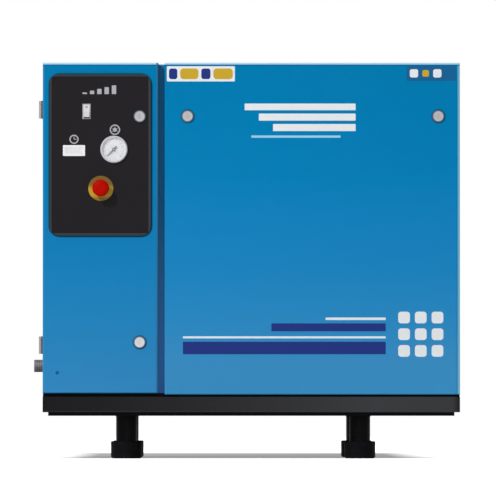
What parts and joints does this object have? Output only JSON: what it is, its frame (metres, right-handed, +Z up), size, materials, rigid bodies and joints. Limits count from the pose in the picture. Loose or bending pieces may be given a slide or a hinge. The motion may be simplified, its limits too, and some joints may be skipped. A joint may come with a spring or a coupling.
{
  "type": "belt drive air compressor",
  "caption": "Belt driven piston air compressor in a silenced cabinet with a control door, a lift-off front panel and a base frame on rubber feet.",
  "frame": {"origin": "on the floor under the middle of the whole object", "axes": "+X along the width, to the right as one faces the front; +Y towards the rear; +Z up"},
  "size_m": [1.024, 0.702, 0.949],
  "materials": {
    "black_rubber": "moulded",
    "black_paint": "powder coat",
    "dark_blue_paint": "powder coat",
    "blue_paint": "powder coat",
    "zinc_sheet": "zinc plated",
    "sound_foam": "open foam",
    "nickel_brass": "nickel plated",
    "copper_pipe": "drawn",
    "black_plastic": "moulded",
    "dark_steel": "blackened",
    "grey_casting": "cast, painted grey",
    "grey_paint": "powder coat",
    "grey_plastic": "moulded",
    "bright_steel": "ground",
    "cast_iron": "machined",
    "cast_aluminium": "cast",
    "belt_rubber": "wrapped",
    "plain_brass": "turned",
    "fascia_plastic": "textured",
    "light_plastic": "moulded",
    "pale_plastic": "moulded",
    "gauge_white": "moulded",
    "needle_black": "painted",
    "stop_yellow": "moulded",
    "stop_red": "moulded",
    "lock_zinc": "die cast"
  },
  "bodies": {
    "base": {"air_pipes": "copper_pipe", "base_frame": "black_paint", "base_tray": "black_paint", "cable_gland": "black_plastic", "contactor": "grey_plastic", "crankcase": "cast_iron", "cylinder_head": "cast_aluminium", "cylinders": "cast_iron", "dampers": "black_rubber", "electrical_plate": "zinc_sheet", "fan_guard": "dark_steel", "fan_shroud": "black_paint", "feet": "black_rubber", "foam_lining": "sound_foam", "hinge_fixed_leaves": "dark_steel", "intake_filter": "black_plastic", "intercooler": "copper_pipe", "left_panel": "blue_paint", "legs": "black_paint", "machine_bed": "black_paint", "motor_end_shields": "grey_casting", "motor_fan_cowl": "grey_paint", "motor_housing": "grey_casting", "motor_rails": "zinc_sheet", "outlet_fitting": "nickel_brass", "partition": "zinc_sheet", "posts": "dark_blue_paint", "pressure_switch": "black_plastic", "rear_panel": "blue_paint", "right_panel": "blue_paint", "roof_panel": "blue_paint", "safety_valve": "plain_brass", "terminal_box": "grey_plastic", "v_belts": "belt_rubber"},
    "door": {"door_panel": "blue_paint", "door_foam": "sound_foam", "hinge_moving_leaves": "dark_steel", "fascia": "fascia_plastic", "rocker_bezel": "light_plastic", "hour_meter": "pale_plastic", "gauge_case": "gauge_white", "estop_collar": "stop_yellow", "door_lock_bodies": "lock_zinc"},
    "lift_off_panel": {"front_panel": "blue_paint", "front_panel_foam": "sound_foam", "panel_lock_bodies": "lock_zinc"},
    "door_lock_upper_core": {"door_lock_upper": "lock_zinc"},
    "door_lock_lower_core": {"door_lock_lower": "lock_zinc"},
    "panel_lock_left_core": {"panel_lock_left": "lock_zinc"},
    "panel_lock_right_core": {"panel_lock_right": "lock_zinc"},
    "rocker_switch": {"rocker": "light_plastic"},
    "needle": {"gauge_needle": "needle_black"},
    "stop_stem": {"estop_stem": "black_plastic"},
    "stop_head": {"estop_head": "stop_red"},
    "flywheel_and_crank": {"flywheel": "cast_iron", "crankshaft": "bright_steel"},
    "motor_rotor": {"motor_shaft": "bright_steel", "motor_pulley": "cast_iron", "motor_fan": "black_plastic"},
    "fan_wheel": {"vent_fan": "black_plastic"}
  },
  "joints": [
    {"name": "door_hinge", "type": "hinge", "parent": "base", "child": "door", "pos_m": [-0.4931, -0.2865, 0.837], "axis": [0, 0, -1], "range_deg": [0, 110]},
    {"name": "front_panel_pull", "type": "slide", "parent": "base", "child": "lift_off_panel", "axis": [0, -1, 0], "range_m": [0, 0.3]},
    {"name": "door_lock_upper_turn", "type": "hinge", "parent": "door", "child": "door_lock_upper_core", "pos_m": [-0.2556, -0.313, 0.82], "axis": [0, -1, 0], "range_deg": [0, 90]},
    {"name": "door_lock_lower_turn", "type": "hinge", "parent": "door", "child": "door_lock_lower_core", "pos_m": [-0.2556, -0.313, 0.2785], "axis": [0, -1, 0], "range_deg": [0, 90]},
    {"name": "panel_lock_left_turn", "type": "hinge", "parent": "lift_off_panel", "child": "panel_lock_left_core", "pos_m": [-0.1408, -0.313, 0.8205], "axis": [0, 1, 0], "range_deg": [0, 90]},
    {"name": "panel_lock_right_turn", "type": "hinge", "parent": "lift_off_panel", "child": "panel_lock_right_core", "pos_m": [0.4604, -0.313, 0.8205], "axis": [0, -1, 0], "range_deg": [0, 90]},
    {"name": "rocker_tip", "type": "hinge", "parent": "door", "child": "rocker_switch", "pos_m": [-0.383, -0.313, 0.832], "axis": [1, 0, 0], "range_deg": [0, 20]},
    {"name": "needle_turn", "type": "hinge", "parent": "door", "child": "needle", "pos_m": [-0.3173, -0.3204, 0.741], "axis": [0, 1, 0], "range_deg": [0, 270], "stiffness_Nm_per_rad": 0.0002},
    {"name": "stop_press", "type": "slide", "parent": "door", "child": "stop_stem", "axis": [0, 1, 0], "range_m": [0, 0.005], "stiffness_N_per_m": 1000},
    {"name": "stop_twist", "type": "hinge", "parent": "stop_stem", "child": "stop_head", "pos_m": [-0.3488, -0.333, 0.6475], "axis": [0, 1, 0], "range_deg": [0, 45], "stiffness_Nm_per_rad": 0.2},
    {"name": "flywheel_spin", "type": "hinge", "parent": "base", "child": "flywheel_and_crank", "pos_m": [0.022, -0.1705, 0.39], "axis": [0, 1, 0], "continuous": true},
    {"name": "motor_spin", "type": "hinge", "parent": "base", "child": "motor_rotor", "pos_m": [0.357, -0.1705, 0.319], "axis": [0, 1, 0], "continuous": true},
    {"name": "fan_spin", "type": "hinge", "parent": "base", "child": "fan_wheel", "pos_m": [0.152, 0.283, 0.56], "axis": [0, 1, 0], "continuous": true}
  ],
  "couplings": [
    {"joint": "motor_spin", "follows": "flywheel_spin", "ratio": 3.0172}
  ]
}
